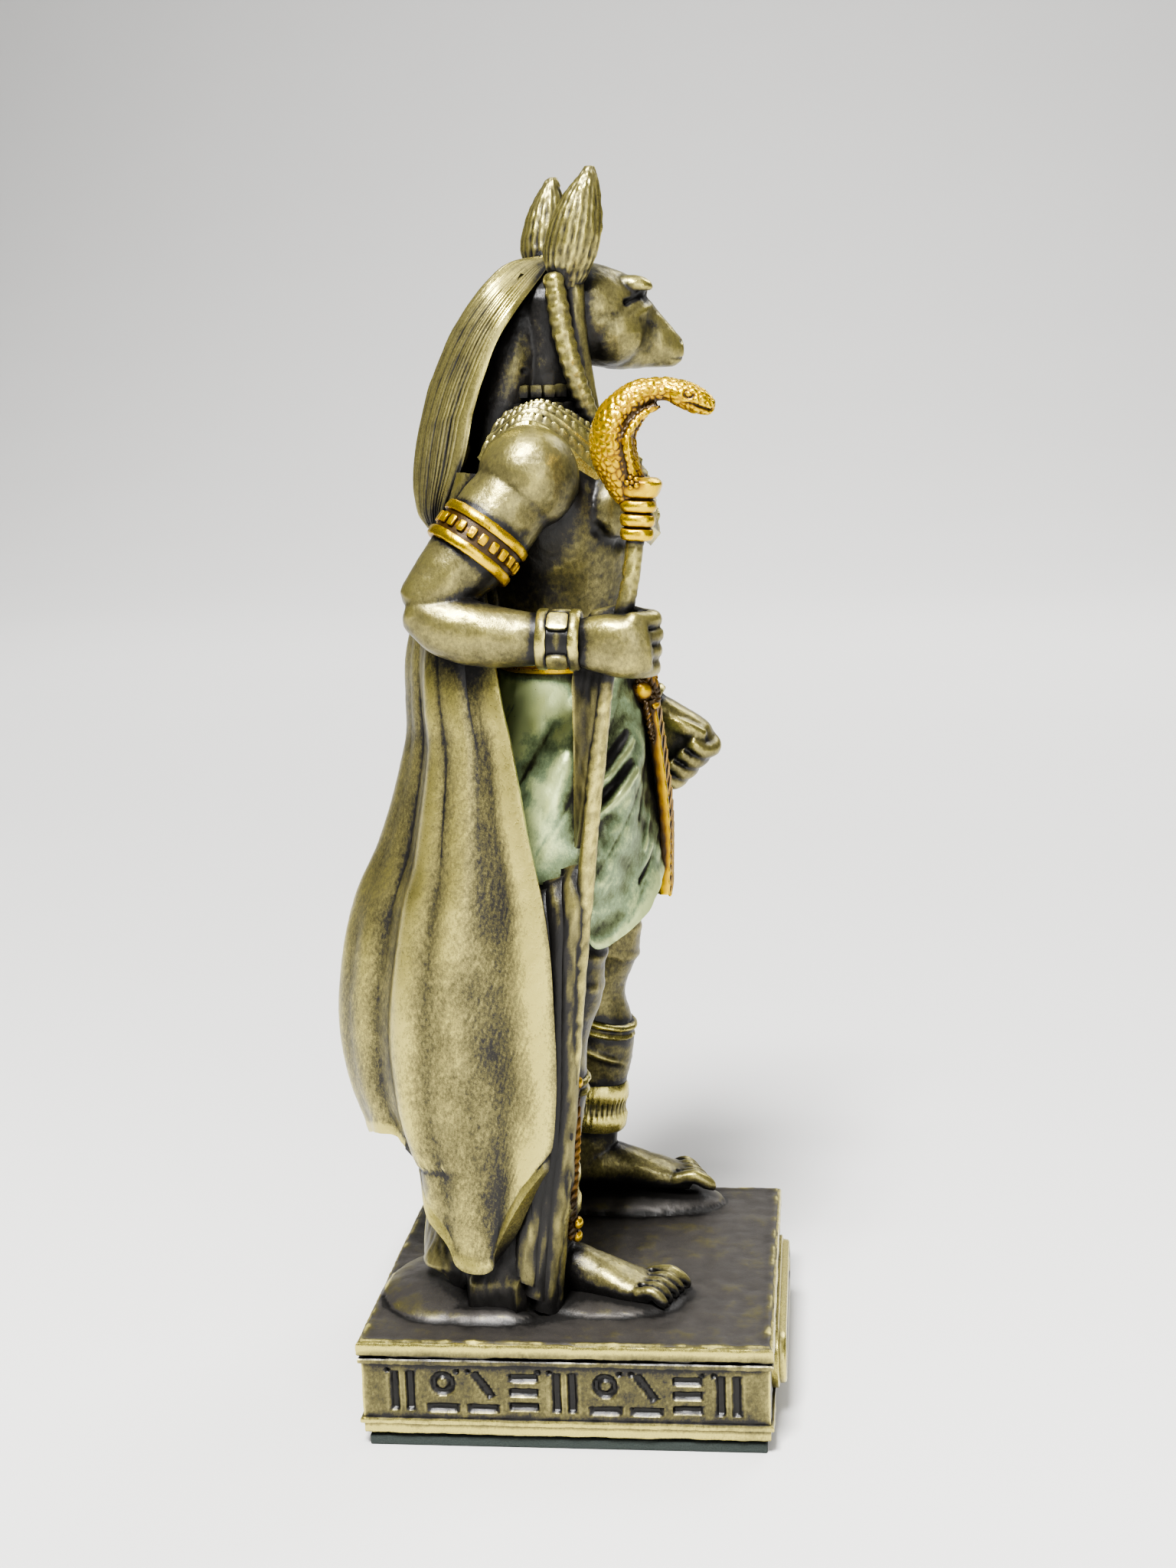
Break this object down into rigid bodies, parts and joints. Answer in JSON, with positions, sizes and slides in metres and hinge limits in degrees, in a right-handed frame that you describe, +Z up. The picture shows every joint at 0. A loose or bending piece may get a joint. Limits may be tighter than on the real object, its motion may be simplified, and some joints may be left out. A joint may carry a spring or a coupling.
{
  "type": "anubis statue",
  "caption": "Standing jackal-headed figurine in a long cape, holding a serpent-topped staff, cast in one piece with a square plinth that stands on a felt pad.",
  "frame": {"origin": "centre of the felt pad's underside, on the surface the figurine stands on", "axes": "+Z up through the plinth and the figure; the figure faces -Y; its right hand and the staff are on the -X side"},
  "size_m": [0.0327, 0.035, 0.0934],
  "materials": {
    "antique_bronze": "cold-cast resin with a dark bronze finish, rubbed to brass gold on the high places; gold paint on the serpent, bands, belt and sash edges; pale green paint on the kilt",
    "dark_felt": "thin pressed felt, matt"
  },
  "bodies": {
    "root": {"anubis_casting": "antique_bronze", "felt_pad": "dark_felt"}
  },
  "joints": []
}
